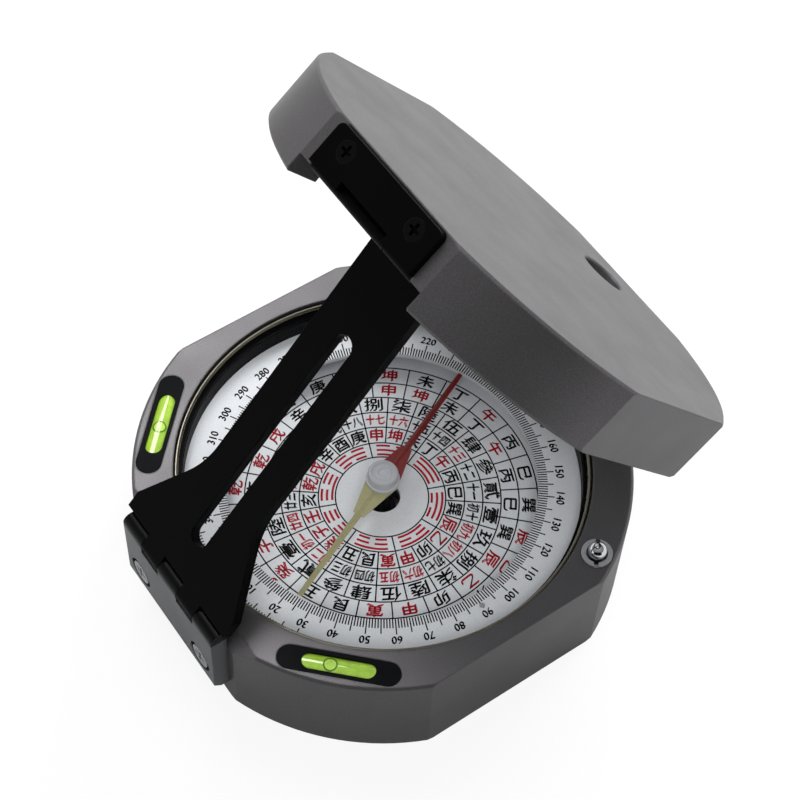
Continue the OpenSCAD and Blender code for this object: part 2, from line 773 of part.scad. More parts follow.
module lid_leaf_screws() {
    color("black") lid_place() at_leaf_screws() screw(screw_r, screw_head_r, leaf_t + small_screw_l);
}

module short_sight_plate() {
    color("black") lid_place() difference() {
        union() {
            translate([0, short_face_y, 0]) rotate([90, 0, 0])
                linear_extrude(short_face_y - short_back_y) short_plate_outline(short_plate_low);
            for (side = [-1, 1]) along_x(side < 0 ? -short_plate_w / 2 : short_knuckle / 2 + axial,
                side < 0 ? -short_knuckle / 2 - axial : short_plate_w / 2) {
                translate([short_axis_y, short_axis_z]) circle(r = short_barrel_r);
                translate([short_back_y, short_axis_z])
                    square([short_face_y - short_back_y, short_plate_low - short_axis_z + short_barrel_r]);
            }
        }
        translate([0, short_axis_y, short_axis_z]) rotate([0, 90, 0])
            cylinder(r = short_pin_r + seat, h = 2 * short_plate_w, center = true);
        at_short_screws() screw_hole(small_screw_r, small_screw_head_r, short_screw_l);
    }
}

module short_plate_screws() {
    color("black") lid_place() at_short_screws()
        screw(small_screw_r, small_screw_head_r, short_screw_l);
}

module short_sight_pin() {
    color("black") lid_place() translate([0, short_axis_y, short_axis_z]) rotate([0, 90, 0])
        cylinder(r = short_pin_r, h = short_plate_w, center = true);
}

// Short sight: a vane with a slit and a peep hole, folded inwards over the mirror
module short_sight() {
    vane_start = short_barrel_r + 0.4;
    color("black") lid_place() difference() {
        union() {
            translate([0, short_axis_y, short_axis_z]) rotate([0, 0, -90])
                linear_extrude(short_t) difference() {
                translate([vane_start, -short_w / 2]) square([short_l - vane_start, short_w]);
                translate([short_l * 0.62, 0]) stadium(short_l * 0.5, 1);
            }
            along_x(-short_knuckle / 2, short_knuckle / 2) {
                translate([short_axis_y, short_axis_z]) circle(r = short_barrel_r);
                translate([short_axis_y - vane_start - 0.5, short_axis_z])
                    square([vane_start + 0.5, short_t]);
            }
        }
        translate([0, short_axis_y, short_axis_z]) rotate([0, 90, 0])
            cylinder(r = short_pin_r + run, h = 2 * short_w, center = true);
    }
}

module lock_pin() {
    color("silver") towards(lock_angle) translate([lock_mid_r, 0, 0]) {
        translate([0, 0, collar_low]) cylinder(r = stem_r, h = case_top + ball_rise - collar_low);
        translate([0, 0, pin_flange_low]) cylinder(r = pin_flange_r, h = pin_flange_t);
        translate([0, 0, case_top + ball_rise]) sphere(r = ball_r);
    }
}

module lift_lever() {
    color("silver") towards(lock_angle) difference() {
        union() {
            translate([0, 0, lever_top - lever_t]) linear_extrude(lever_t) difference() {
                union() {
                    translate([-fork_tip, -fork_w / 2]) square([fork_tip + collar_flange_r + 1, fork_w]);
                    translate([0, -lever_w / 2]) square([lever_end, lever_w]);
                }
                translate([-fork_tip - over, -fork_slot / 2]) square([fork_tip + over, fork_slot]);
                circle(d = fork_slot);
            }
            translate([fulcrum_x, 0, fulcrum_z]) rotate([90, 0, 0])
                cylinder(r = fulcrum_boss_r, h = lever_w, center = true);
        }
        translate([fulcrum_x, 0, fulcrum_z]) rotate([90, 0, 0])
            cylinder(r = fulcrum_pin_r + run, h = 2 * fork_w, center = true);
    }
}

module lift_collar() {
    color("black") difference() {
        union() {
            translate([0, 0, collar_low]) cylinder(r = collar_r, h = collar_top - collar_low);
            translate([0, 0, collar_low]) cylinder(r = collar_flange_r, h = collar_flange_t);
        }
        cylinder(r = collar_in_r, h = case_h);
    }
}

// Half of the needle's outline along +X: a kite at the hub, then a slim lance
function needle_half() = [[0, needle_hub_w], [needle_l * 0.3, needle_hub_w * 0.36],
    [needle_l * 0.32, lance_w], [needle_l, tip_w]];

module needle_blade() {
    half = needle_half();
    outline = concat(half, [for (p = [len(half) - 1:-1:1]) [half[p][0], -half[p][1]]], [[0, -needle_hub_w]],
        [for (p = [1:len(half) - 1]) [-half[p][0], -half[p][1]]],
        [for (p = [len(half) - 1:-1:1]) [-half[p][0], half[p][1]]]);
    color("firebrick") towards(needle_angle) translate([0, 0, needle_low]) difference() {
        linear_extrude(needle_t) polygon(outline);
        translate([0, 0, -over]) cylinder(r = post_r + 0.4, h = needle_t + 2 * over);
    }
}

module needle_cap() {
    color("silver") translate([0, 0, cap_low]) difference() {
        union() {
            cylinder(r = cap_r, h = cap_h * 0.25);
            cylinder(r = cap_body_r, h = cap_h);
        }
        translate([0, 0, -over]) cylinder(r = jewel_r + seat, h = jewel_h + seat + over);
        translate([0, 0, cap_h - cap_dimple]) cylinder(r = cap_dimple_r, h = over);
    }
}

module needle_jewel() {
    color("crimson") translate([0, 0, cap_low]) difference() {
        cylinder(r = jewel_r, h = jewel_h);
        translate([0, 0, -tip_gap])
            cylinder(r1 = jewel_cup_r, r2 = tip_gap, h = post_top - cap_low + 2 * tip_gap);
    }
}

body_case();
base_cover();
cover_screws();
dial_plate();
graduated_ring();
spacer_ring();
glass_gasket();
dial_glass();
snap_ring();
pivot_post();
fulcrum_pin();
return_spring();
lock_bush();
vial_holder_left();
vial_holder_front();
vial_left();
vial_front();
sight_hinge_plate();
sight_plate_screws();
sight_hinge_pin();
lid_hinge_base();
lid_base_screws();
lid_hinge_pin();
long_sight();
lid_shell();
lid_mirror();
lid_hinge_leaf();
lid_leaf_screws();
short_sight_plate();
short_plate_screws();
short_sight_pin();
short_sight();
lock_pin();
lift_lever();
lift_collar();
needle_blade();
needle_cap();
needle_jewel();
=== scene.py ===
"""Dresses the pocket feng shui compass: its print, needle, vials, spring and finishes, in a studio."""

import json
import math

import bpy
from bpy.props import FloatProperty, FloatVectorProperty, IntProperty, PointerProperty
from mathutils import Matrix, Vector


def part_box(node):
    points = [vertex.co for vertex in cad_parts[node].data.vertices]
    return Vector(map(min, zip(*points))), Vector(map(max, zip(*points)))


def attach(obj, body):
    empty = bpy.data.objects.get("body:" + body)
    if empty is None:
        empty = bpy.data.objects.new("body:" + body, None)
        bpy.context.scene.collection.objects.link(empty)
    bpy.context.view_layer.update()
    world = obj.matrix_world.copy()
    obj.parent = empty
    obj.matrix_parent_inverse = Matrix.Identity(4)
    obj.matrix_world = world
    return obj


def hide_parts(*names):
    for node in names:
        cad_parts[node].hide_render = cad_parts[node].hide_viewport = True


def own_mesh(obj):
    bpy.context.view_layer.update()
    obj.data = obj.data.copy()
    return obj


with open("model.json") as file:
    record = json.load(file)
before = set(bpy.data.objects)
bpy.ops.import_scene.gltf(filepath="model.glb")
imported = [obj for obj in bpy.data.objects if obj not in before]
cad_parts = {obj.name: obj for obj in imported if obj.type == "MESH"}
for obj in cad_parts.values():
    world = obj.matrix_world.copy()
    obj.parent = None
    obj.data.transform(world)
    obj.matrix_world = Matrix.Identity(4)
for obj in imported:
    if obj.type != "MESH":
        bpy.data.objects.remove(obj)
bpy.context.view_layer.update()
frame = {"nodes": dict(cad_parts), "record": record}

bl_info = {
    "name": "Pocket feng shui compass",
    "version": (1, 0, 0),
    "blender": (4, 5, 0),
    "location": "View3D > Sidebar > Compass",
    "description": "Prints the dial, shapes the needle, vials and spring, and finishes every surface",
    "category": "Object",
}

MM = 0.001

# Heights of the faces that carry the print, of the needle and of its cap
DIAL_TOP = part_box("dial_plate")[1][2]
RING_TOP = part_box("graduated_ring")[1][2]
NEEDLE_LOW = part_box("needle_blade")[0][2]
NEEDLE_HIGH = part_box("needle_blade")[1][2]
CAP_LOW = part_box("needle_cap")[0][2]
CAP_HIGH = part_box("needle_cap")[1][2]

# The compass's 24 directions, from the dial's zero on, and those printed in red
DIRECTIONS = "子癸丑艮寅甲卯乙辰巽巳丙午丁未坤申庚酉辛戌乾亥壬"
RED_DIRECTIONS = "乾甲坤乙寅午戌壬申子辰癸"
# Plain numbers that fill two of the word rings
DIGITS = "一二三四五六七八九十"
SMALL_NUMBERS = (["初" + d for d in DIGITS] + ["十" + d for d in DIGITS[:9]] + ["二十"]
                 + ["廿" + d for d in DIGITS[:4]])
FORMAL_NUMBERS = "壹貳參肆伍陸柒捌玖"
# Broken (B) and solid (S) bars of the eight trigrams, from the outer bar in, every 45 degrees
TRIGRAMS = ("BBB", "SBB", "SBS", "SSB", "SSS", "BSS", "BSB", "BBS")
# Height of a character's middle over its base line, as a share of its size
TEXT_MIDDLE = 0.36
# Points of a mesh nearer than this are one, and edges that turn further than this stay sharp
MERGE_DISTANCE = 0.0001 * MM
SHARP_ANGLE = math.radians(40)
# Values that nearly all of a noise texture lies between, and the width of slow changes of gloss
NOISE_RANGE = (0.3, 0.7)
GLOSS_CLOUD = 9 * MM
GLASS_CLOUD = 12 * MM

# Vials: radius, length and rounded ends of the tubes, and their width as a share of their height, as
# the windows show it
VIAL_RADIUS = 1.5 * MM
VIAL_LENGTH = 12.6 * MM
VIAL_ROUNDING = 0.6 * MM
VIAL_FLATNESS = 1.25
# Where a bubble's rim of painted shade starts, as a share of its radius
SHADED_RIM_START = 0.76

# Room: light that it scatters at floor level and overhead, and the sines of the height angles between
# which its white walls give way to the ceiling
AMBIENT = (0.06, 0.36)
WALL_TOP = 0.2
CEILING = 0.4
# Floor: its side, its white as scattered light, metal and the camera meet it, and the share of pure
# white that the camera sees over its shading
FLOOR_SIDE = 6
FLOOR_BOUNCE = 0.08
FLOOR_MIRRORED = 0.55
FLOOR_SEEN = 0.9
FLOOR_GLOW = 0.86
# Softboxes: name, place, side, power in watts and whether metal mirrors them, and the point they face
SOFTBOXES = (
    ("side_softbox", (0.47, -0.12, 0.8), 0.4, 3.8, True),
    ("front_softbox", (-0.35, 0.3, 0.75), 0.5, 4, False),
    ("rear_softbox", (0.12, -0.32, 0.3), 0.25, 2.2, False),
)
LAMP_AIM = (0, 0, 0.03)
# Black card: its middle, its width and height, and its turn about the vertical
CARD_PLACE = (-0.55, 0.43, 0.3)
CARD_SIZE = (1.5, 0.6)
CARD_TURN = math.radians(52)
# Picture: its side, and how far right of and below its middle the dial's centre lies, in pixels
PICTURE_SIDE = 800
DIAL_OFFSET = (-17.2, 81.0)
# Width of the camera's sensor in millimetres, and the nearest that it sees
SENSOR = 36
CLIP_START = 10 * MM


def linear(hex_text):
    """Linear colour of an sRGB hex value."""
    channels = [int(hex_text[i:i + 2], 16) / 255 for i in (0, 2, 4)]
    return tuple(c / 12.92 if c <= 0.04045 else ((c + 0.055) / 1.055) ** 2.4 for c in channels)


# Sizes and colours that a user may change

class CompassPrint(bpy.types.PropertyGroup):
    """Sizes and inks of the printed dial and ring"""

    line_width: FloatProperty(name="Line width", description="Width of the dial's printed lines",
                              default=0.22 * MM, unit="LENGTH", precision=5)
    tick_width: FloatProperty(name="Tick width", description="Width of the degree ticks",
                              default=0.2 * MM, unit="LENGTH", precision=5)
    ink_height: FloatProperty(name="Ink height", description="Thickness of the printed ink",
                              default=0.015 * MM, unit="LENGTH", precision=5)
    number_height: FloatProperty(name="Number height", description="Height of the degree numbers",
                                 default=1.32 * MM, unit="LENGTH", precision=5)
    circles: FloatVectorProperty(name="Circles", description="Radii of the dial's printed circles",
                                 size=7, unit="LENGTH", precision=5,
                                 default=[r * MM for r in (7.4, 10.1, 13.1, 16.0, 18.9, 21.77, 24.8)])
    black: FloatVectorProperty(name="Black ink", description="Colour of the black print",
                               subtype="COLOR", size=3, min=0, max=1, default=linear("0c0c0e"))
    red: FloatVectorProperty(name="Red ink", description="Colour of the red print",
                             subtype="COLOR", size=3, min=0, max=1, default=linear("b0182a"))


class CompassNeedle(bpy.types.PropertyGroup):
    """Sizes and colours of the needle"""

    angle: FloatProperty(name="Angle", description="Dial angle of the red end",
                         subtype="ANGLE", default=math.radians(204))
    length: FloatProperty(name="Length", description="Length of each half of the needle",
                          default=24 * MM, unit="LENGTH", precision=5)
    hub_half_width: FloatProperty(name="Hub half width", description="Half width of the kite at the hub",
                                  default=2.6 * MM, unit="LENGTH", precision=5)
    lance_half_width: FloatProperty(name="Lance half width", description="Half width of the slim pointer",
                                    default=0.56 * MM, unit="LENGTH", precision=5)
    tip_half_width: FloatProperty(name="Tip half width", description="Half width of the pointer's blunt tip",
                                  default=0.42 * MM, unit="LENGTH", precision=5)
    red: FloatVectorProperty(name="Red enamel", description="Colour of the red half",
                             subtype="COLOR", size=3, min=0, max=1, default=linear("7c1c1a"))
    pale: FloatVectorProperty(name="Pale enamel", description="Colour of the pale half",
                              subtype="COLOR", size=3, min=0, max=1, default=linear("a8a579"))


class CompassVials(bpy.types.PropertyGroup):
    """Sizes and colour of the two level vials"""

    bubble_radius: FloatProperty(name="Bubble radius", description="Radius of the bubbles",
                                 default=1.1 * MM, unit="LENGTH", precision=5)
    green: FloatVectorProperty(name="Spirit", description="Colour of the green spirit",
                               subtype="COLOR", size=3, min=0, max=1, default=linear("a4cc45"))


class CompassSpring(bpy.types.PropertyGroup):
    """Sizes of the needle lock's return spring"""

    wire: FloatProperty(name="Wire", description="Diameter of the spring's wire",
                        default=0.3 * MM, unit="LENGTH", precision=5)
    turns: IntProperty(name="Turns", description="Number of the spring's turns", default=3, min=1)


class CompassFinish(bpy.types.PropertyGroup):
    """Colours of the metal finishes"""

    grey: FloatVectorProperty(name="Grey anodising", description="Colour of the case and lid",
                              subtype="COLOR", size=3, min=0, max=1, default=linear("686668"))
    black: FloatVectorProperty(name="Black anodising", description="Colour of the sights and hinges",
                               subtype="COLOR", size=3, min=0, max=1, default=linear("040405"))
    dial: FloatVectorProperty(name="Dial lacquer", description="Colour of the dial and ring",
                              subtype="COLOR", size=3, min=0, max=1, default=linear("e4e7eb"))


class CompassStage(bpy.types.PropertyGroup):
    """Camera of the studio"""

    azimuth: FloatProperty(name="Azimuth", description="Turn of the camera about the vertical",
                           subtype="ANGLE", default=math.radians(232.58))
    elevation: FloatProperty(name="Elevation", description="Height angle of the camera",
                             subtype="ANGLE", default=math.radians(56.12))
    roll: FloatProperty(name="Roll", description="Turn of the camera about its view",
                        subtype="ANGLE", default=math.radians(3.31))
    distance: FloatProperty(name="Distance", description="Distance of the camera from the dial's centre",
                            default=318.4 * MM, unit="LENGTH")
    lens: FloatProperty(name="Lens", description="Focal length of the camera, in millimetres",
                        default=91.485, subtype="DISTANCE_CAMERA")


# Modelling helpers

def clear_selection():
    bpy.ops.object.select_all(action="DESELECT")


def select_only(*pieces):
    clear_selection()
    for piece in pieces:
        piece.select_set(True)
    bpy.context.view_layer.objects.active = pieces[0]


def join(name, pieces):
    """Joins the pieces into one object with its place in its mesh."""
    select_only(*pieces)
    if len(pieces) > 1:
        bpy.ops.object.join()
    bpy.ops.object.transform_apply(location=True, rotation=True, scale=True)
    piece = bpy.context.active_object
    piece.name = name
    piece.data.name = name
    return piece


def apply_modifier(piece, kind, **settings):
    select_only(piece)
    modifier = piece.modifiers.new(kind.title(), kind)
    for key, value in settings.items():
        setattr(modifier, key, value)
    bpy.ops.object.modifier_apply(modifier=modifier.name)


def edit_all():
    """Enters edit mode with the whole of the active object selected."""
    bpy.ops.object.mode_set(mode="EDIT")
    bpy.ops.mesh.select_all(action="SELECT")


def leave_edit():
    bpy.ops.object.mode_set(mode="OBJECT")


def close_mesh(piece):
    """Merges doubles and turns the faces outwards."""
    select_only(piece)
    edit_all()
    bpy.ops.mesh.remove_doubles(threshold=MERGE_DISTANCE)
    bpy.ops.mesh.normals_make_consistent(inside=False)
    leave_edit()


def smooth(piece):
    """Shades a piece smooth, apart from its sharp edges."""
    select_only(piece)
    bpy.ops.object.shade_smooth_by_angle(angle=SHARP_ANGLE)


def spun(name, profile):
    """Turned piece: an edge is drawn out along the (radius, height) profile, then spun about Z."""
    clear_selection()
    bpy.ops.mesh.primitive_plane_add(size=MM)
    piece = bpy.context.active_object
    edit_all()
    bpy.ops.mesh.merge(type="CENTER")
    bpy.ops.transform.translate(value=(profile[0][0], 0, profile[0][1]))
    for (radius, height), (next_radius, next_height) in zip(profile, profile[1:]):
        step = (next_radius - radius, 0, next_height - height)
        bpy.ops.mesh.extrude_region_move(TRANSFORM_OT_translate={"value": step})
    bpy.ops.mesh.select_all(action="SELECT")
    bpy.ops.mesh.spin(steps=64, angle=2 * math.pi, center=(0, 0, 0), axis=(0, 0, 1))
    leave_edit()
    piece = join(name, [piece])
    close_mesh(piece)
    return piece


def dress(piece, material, body):
    """Puts a material on a new piece and says which body it rides on."""
    piece.data.materials.clear()
    piece.data.materials.append(material)
    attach(piece, body)


# Print

def dial_point(radius, angle, height):
    """Point of the dial at a radius and a dial angle in degrees, counter-clockwise from +Y."""
    turn = math.radians(angle)
    return Vector((-radius * math.sin(turn), radius * math.cos(turn), height))


def printed_circle(radius, width, height):
    clear_selection()
    bpy.ops.mesh.primitive_circle_add(vertices=180, radius=radius - width / 2, location=(0, 0, height))
    edit_all()
    bpy.ops.mesh.extrude_edges_move()
    factor = (radius + width / 2) / (radius - width / 2)
    bpy.ops.transform.resize(value=(factor, factor, 1), center_override=(0, 0, height))
    leave_edit()
    return bpy.context.active_object


def printed_lines(inner, outer, width, height, first, step, count):
    """Radial lines from one radius to another, one modelled and the rest spun round the dial."""
    clear_selection()
    bpy.ops.mesh.primitive_plane_add(size=1, location=dial_point((inner + outer) / 2, first, height),
                                     rotation=(0, 0, math.radians(first)))
    line = bpy.context.active_object
    line.scale = (width, outer - inner, 1)
    bpy.ops.object.transform_apply(location=True, rotation=True, scale=True)
    edit_all()
    bpy.ops.mesh.spin(steps=count - 1, dupli=True, angle=-math.radians(step * (count - 1)),
                      center=(0, 0, 0), axis=(0, 0, 1))
    leave_edit()
    return line


def printed_arc(radius, width, height, first, span):
    """Curved bar, spun from the one edge of a plane that is kept."""
    clear_selection()
    bpy.ops.mesh.primitive_plane_add(size=width, location=(0, 0, 0))
    arc = bpy.context.active_object
    bpy.ops.object.mode_set(mode="EDIT")
    bpy.ops.mesh.select_all(action="DESELECT")
    leave_edit()
    for vertex in arc.data.vertices:
        vertex.select = vertex.co.x > 0
    bpy.ops.object.mode_set(mode="EDIT")
    bpy.ops.mesh.delete(type="VERT")
    bpy.ops.mesh.select_all(action="SELECT")
    bpy.ops.transform.translate(value=(width / 2, radius, height))
    bpy.ops.mesh.spin(steps=10, angle=-math.radians(span), center=(0, 0, 0), axis=(0, 0, 1))
    leave_edit()
    arc.rotation_euler.z = math.radians(first)
    return arc


def printed_word(word, width, tall, radius, angle, height, bold=0):
    """Characters whose middle is at a radius and angle, with their top outwards. Bold ones are printed
    twice, as far apart as they are to be thickened."""
    clear_selection()
    bpy.ops.object.text_add()
    text = bpy.context.active_object
    text.data.body = word
    text.data.align_x = "CENTER"
    text.data.resolution_u = 2
    bpy.ops.object.convert(target="MESH")
    label = bpy.context.active_object
    label.scale = (width, tall, 1)
    label.rotation_euler.z = math.radians(angle)
    label.location = dial_point(radius - TEXT_MIDDLE * tall, angle, height)
    if not bold:
        return [label]
    shift = label.rotation_euler.to_matrix() @ Vector((bold / 2, bold / 2, 0))
    bpy.ops.object.duplicate()
    copy = bpy.context.active_object
    label.location -= shift
    copy.location += shift
    return [label, copy]


def finish_print(name, pieces, material):
    """Gives joined flat print its ink thickness and lets it ride on the case."""
    ink = join(name, pieces)
    close_mesh(ink)
    apply_modifier(ink, "SOLIDIFY", thickness=bpy.context.scene.compass_print.ink_height, offset=-1)
    dress(ink, material, "case")


# Materials

def add_node(tree, kind, sockets=None, **settings):
    """Adds a node, sets its properties, and sets or links its sockets."""
    node = tree.nodes.new(kind)
    for key, value in settings.items():
        setattr(node, key, value)
    for key, value in (sockets or {}).items():
        if isinstance(value, bpy.types.NodeSocket):
            tree.links.new(value, node.inputs[key])
        else:
            node.inputs[key].default_value = value
    return node


def new_material(name):
    material = bpy.data.materials.new(name)
    material.use_nodes = True
    material.node_tree.nodes.clear()
    return material, material.node_tree


def seen_directly(tree):
    """One for what the camera sees, also in metal or through glass, and nothing for scattered light."""
    path = add_node(tree, "ShaderNodeLightPath").outputs
    seen = add_node(tree, "ShaderNodeMath", {0: path["Is Camera Ray"], 1: path["Is Glossy Ray"]},
                    operation="MAXIMUM")
    shown = add_node(tree, "ShaderNodeMath", {0: seen.outputs[0], 1: path["Is Transmission Ray"]},
                     operation="MAXIMUM")
    return shown.outputs[0]


def opaque(colour):
    return (*colour[:3], 1)


def tint(colour, factor):
    return tuple(min(1, c * factor) for c in colour[:3]) + (1,)


def grained(name, colour, grain, contrast, metallic, roughness, bump, edge=0, **sockets):
    """Surface with a fine grain in its colour and relief, slow changes of gloss, and softened edges.
    The grain is its size in metres, the contrast is the share by which the colour varies, the
    roughness is its lowest and highest value, and the edge is the radius that an edge shows. A grain
    that is finer than 0.15 mm on the real surface is drawn at that size or more, so that it shows."""
    material, tree = new_material(name)
    place = add_node(tree, "ShaderNodeTexCoord").outputs["Object"]
    fine = add_node(tree, "ShaderNodeTexNoise",
                    {"Vector": place, "Scale": 1 / grain, "Detail": 3, "Roughness": 0.65}).outputs["Fac"]
    slow = add_node(tree, "ShaderNodeTexNoise",
                    {"Vector": place, "Scale": 1 / GLOSS_CLOUD, "Detail": 2}).outputs["Fac"]
    low, high = NOISE_RANGE
    shade = add_node(tree, "ShaderNodeValToRGB", {"Fac": fine})
    for stop, position, factor in zip(shade.color_ramp.elements, (low, high), (1 - contrast, 1 + contrast)):
        stop.position = position
        stop.color = tint(colour, factor)
    gloss = add_node(tree, "ShaderNodeMapRange", {"Value": slow, "From Min": low, "From Max": high,
                                                  "To Min": roughness[0], "To Max": roughness[1]})
    relief = add_node(tree, "ShaderNodeBump", {"Height": fine, "Strength": bump, "Distance": grain / 4})
    if edge:
        rounded = add_node(tree, "ShaderNodeBevel", {"Radius": edge}, samples=4)
        tree.links.new(rounded.outputs["Normal"], relief.inputs["Normal"])
    shader = add_node(tree, "ShaderNodeBsdfPrincipled",
                      {"Base Color": shade.outputs["Color"], "Metallic": metallic,
                       "Roughness": gloss.outputs["Result"], "Normal": relief.outputs["Normal"], **sockets})
    add_node(tree, "ShaderNodeOutputMaterial", {"Surface": shader.outputs["BSDF"]})
    return material


def clear(name, colour, ior, roughness, clearness=1):
    """Clear solid that lets the lamps through, with faint clouds in its gloss."""
    material, tree = new_material(name)
    place = add_node(tree, "ShaderNodeTexCoord").outputs["Object"]
    slow = add_node(tree, "ShaderNodeTexNoise", {"Vector": place, "Scale": 1 / GLASS_CLOUD}).outputs["Fac"]
    gloss = add_node(tree, "ShaderNodeMapRange", {"Value": slow, "To Min": roughness[0],
                                                  "To Max": roughness[1]})
    glass = add_node(tree, "ShaderNodeBsdfPrincipled",
                     {"Base Color": opaque(colour), "Transmission Weight": clearness, "IOR": ior,
                      "Roughness": gloss.outputs["Result"]})
    through = add_node(tree, "ShaderNodeBsdfTransparent", {"Color": opaque(colour)})
    path = add_node(tree, "ShaderNodeLightPath")
    mix = add_node(tree, "ShaderNodeMixShader",
                   {0: path.outputs["Is Shadow Ray"], 1: glass.outputs["BSDF"], 2: through.outputs["BSDF"]})
    add_node(tree, "ShaderNodeOutputMaterial", {"Surface": mix.outputs["Shader"]})
    return material


def grey_anodised_aluminium(colour):
    # Bead-blasted and anodised: an even satin grey with a fine sparkle.
    return grained("grey_anodised_aluminium", colour, grain=0.2 * MM, contrast=0.2, metallic=0.75,
                   roughness=(0.42, 0.48), bump=0.04, edge=0.4 * MM)


def black_anodised_aluminium(colour):
    # Dyed black and sealed: a deep satin black with only a faint sheen.
    return grained("black_anodised_aluminium", colour, grain=0.15 * MM, contrast=0.3, metallic=0,
                   roughness=(0.4, 0.48), bump=0.1, edge=0.15 * MM, **{"Specular IOR Level": 0.05})


def satin_gunmetal():
    # Ground and dyed dark grey: a satin plate that mirrors the pale table softly. Its top, where the
    # knuckles are, is darkened almost to black, and the two tones meet in a short soft line.
    material = grained("satin_gunmetal", linear("6c6e71"), grain=0.15 * MM, contrast=0.14, metallic=0.85,
                       roughness=(0.38, 0.44), bump=0.1, edge=0.15 * MM)
    plate_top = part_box("sight_hinge_plate")[1][2]
    grey_end = plate_top - 2.3 * MM
    black_start = plate_top - 2.1 * MM
    black_share = 0.04
    tree = material.node_tree
    shader = tree.nodes["Principled BSDF"]
    face = shader.inputs["Base Color"].links[0].from_socket
    place = add_node(tree, "ShaderNodeSeparateXYZ",
                     {"Vector": add_node(tree, "ShaderNodeTexCoord").outputs["Object"]})
    # Darkens the colour almost to black over the plate's top, where the knuckles are.
    top_darkening = add_node(tree, "ShaderNodeMapRange", {"Value": place.outputs["Z"], "From Min": grey_end,
                                                "From Max": black_start, "To Min": 1, "To Max": black_share})
    darkened_face = add_node(tree, "ShaderNodeVectorMath", {0: face, 1: top_darkening.outputs["Result"]},
                    operation="MULTIPLY")
    tree.links.new(darkened_face.outputs["Vector"], shader.inputs["Base Color"])
    return material


def moulded_black_abs():
    # Spark-eroded mould: matt black with a fine pebble.
    return grained("moulded_black_abs", linear("0c0d0f"), grain=0.2 * MM, contrast=0.6, metallic=0,
                   roughness=(0.45, 0.55), bump=0.2, edge=0.1 * MM, **{"Specular IOR Level": 0.05})


def blackened_steel():
    # Oiled black oxide: dark, half-glossy screws and pins.
    return grained("blackened_steel", linear("070708"), grain=0.2 * MM, contrast=0.3, metallic=0.3,
                   roughness=(0.3, 0.4), bump=0.1, edge=0.08 * MM, **{"Specular IOR Level": 0.15})


def silver_lacquer(colour):
    # Sprayed metal-flake lacquer: a pale silver with tiny brighter flakes.
    return grained("silver_lacquer", colour, grain=0.18 * MM, contrast=0.07, metallic=0.1,
                   roughness=(0.5, 0.58), bump=0.05)


def screen_ink(name, colour):
    # Screen-printed enamel ink: even, slightly glossier than the lacquer, with a few thin spots.
    return grained(name, colour, grain=0.3 * MM, contrast=0.12, metallic=0, roughness=(0.4, 0.5), bump=0.05,
                   **{"Specular IOR Level": 0.1})


def needle_enamel(name, colour):
    # Brushed-on enamel over thin sheet: smooth, half-glossy, a little cloudy.
    return grained(name, colour, grain=0.5 * MM, contrast=0.1, metallic=0, roughness=(0.3, 0.42), bump=0.04,
                   **{"Coat Weight": 0.2})


def turned_brass():
    # Fine-turned brass: warm metal with a faint unevenness.
    return grained("turned_brass", linear("c39a4e"), grain=0.2 * MM, contrast=0.1, metallic=1,
                   roughness=(0.25, 0.35), bump=0.1)


def spring_steel():
    # Rolled steel strip and wire: grey metal with a soft gloss.
    return grained("spring_steel", linear("a9abae"), grain=0.2 * MM, contrast=0.1, metallic=1,
                   roughness=(0.28, 0.36), bump=0.1)


def polished_chrome():
    # Chromed and polished ball: almost a mirror.
    return grained("polished_chrome", linear("d9dcdf"), grain=0.4 * MM, contrast=0.03, metallic=1,
                   roughness=(0.06, 0.1), bump=0.01)


def dull_nickel():
    # Machined and nickel-plated: the dull grey metal of the bush, the stud and the hinge plate's screws.
    return grained("dull_nickel", linear("b4b5b8"), grain=0.2 * MM, contrast=0.12, metallic=0.6,
                   roughness=(0.35, 0.45), bump=0.1, edge=0.08 * MM)


def gilded_wire():
    # Pale gilt spring wire that holds the glass: a thin bright line round the window.
    return grained("gilded_wire", linear("7d796c"), grain=0.2 * MM, contrast=0.08, metallic=1,
                   roughness=(0.25, 0.32), bump=0.05)


def black_rubber():
    # Cut sheet rubber: dull black.
    return grained("black_rubber", linear("101010"), grain=0.3 * MM, contrast=0.3, metallic=0,
                   roughness=(0.7, 0.8), bump=0.2)


def silvered_mirror():
    # Front-silvered glass: a clean mirror with the faintest haze.
    return grained("silvered_mirror", linear("e4e7e8"), grain=0.5 * MM, contrast=0.01, metallic=1,
                   roughness=(0.02, 0.04), bump=0)


def float_glass():
    # Polished window glass under a coating that takes most of its reflections away, hence the low IOR:
    # quite clear.
    return clear("float_glass", linear("ffffff"), ior=1.1, roughness=(0, 0.02))


def cast_acrylic():
    # Turned acrylic, half polished: a milky clear with bright rings where its steps bend the light.
    return clear("cast_acrylic", linear("d4d6da"), ior=1.49, roughness=(0.08, 0.14), clearness=0.3)


def green_spirit(colour):
    # Dyed spirit in an acrylic tube: a glowing yellow-green under a wet gloss.
    return grained("green_spirit", colour, grain=1.2 * MM, contrast=0.14, metallic=0, roughness=(0.1, 0.16),
                   bump=0, **{"Coat Weight": 1, "Coat Roughness": 0.04, "Subsurface Weight": 0.3,
                              "Subsurface Radius": (1 * MM, 1 * MM, 0.4 * MM)})


def spirit_meniscus():
    # Spirit that curls up round a bubble and bends the light aside: a wet rim painted dark green, as painted
    # shade for the light it bends away.
    return grained("spirit_meniscus", linear("4f7a16"), grain=1 * MM, contrast=0.1, metallic=0,
                   roughness=(0.1, 0.15), bump=0, **{"Coat Weight": 1})


def spirit_film():
    # Thin film of spirit over a bubble's air: a wet pale yellow-green.
    return grained("spirit_film", linear("b4dc5c"), grain=1 * MM, contrast=0.1, metallic=0,
                   roughness=(0.1, 0.15), bump=0, **{"Coat Weight": 1})


# Operators, one for each piece or group of like pieces

